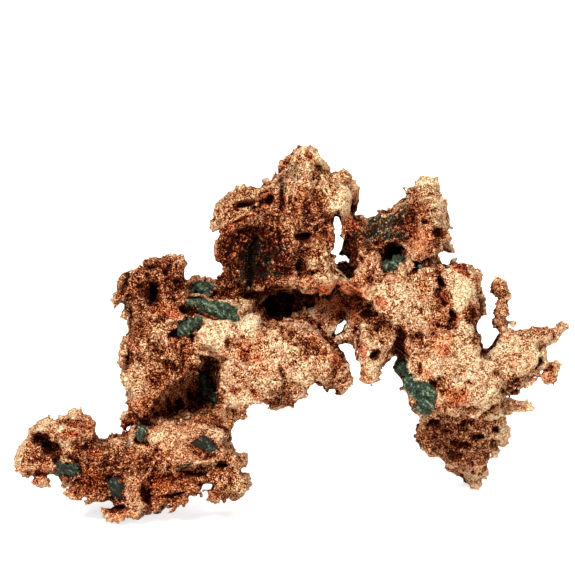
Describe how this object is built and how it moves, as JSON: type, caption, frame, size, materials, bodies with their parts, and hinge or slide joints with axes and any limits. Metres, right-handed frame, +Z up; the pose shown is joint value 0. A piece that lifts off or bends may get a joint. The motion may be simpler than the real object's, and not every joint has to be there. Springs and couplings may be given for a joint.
{
  "type": "native copper nugget",
  "caption": "Ragged branching nugget of native copper that stands as an arch on three worn feet, with lumps of malachite in its pockets",
  "frame": {"origin": "middle of the bounding box on X and Y, at the ground under the feet on Z", "axes": "X runs along the arch from the left foot to the right leg, Y runs from the show face to the back, Z is up"},
  "size_m": [0.0944, 0.0414, 0.0609],
  "materials": {
    "copper": "rough, pitted native copper with peach highlights, red-brown patches and dark pits",
    "malachite": "dull dark green crust"
  },
  "bodies": {
    "root": {"native_copper": "copper", "malachite_shelf_lens": "malachite", "malachite_shelf_bead": "malachite", "malachite_curl": "malachite", "malachite_hollow": "malachite", "malachite_foot_right": "malachite", "malachite_foot_left": "malachite", "malachite_foot_bead": "malachite", "malachite_paw": "malachite", "malachite_horn": "malachite", "malachite_horn_bead": "malachite", "malachite_leg_upper": "malachite", "malachite_leg_lower": "malachite"}
  },
  "joints": []
}
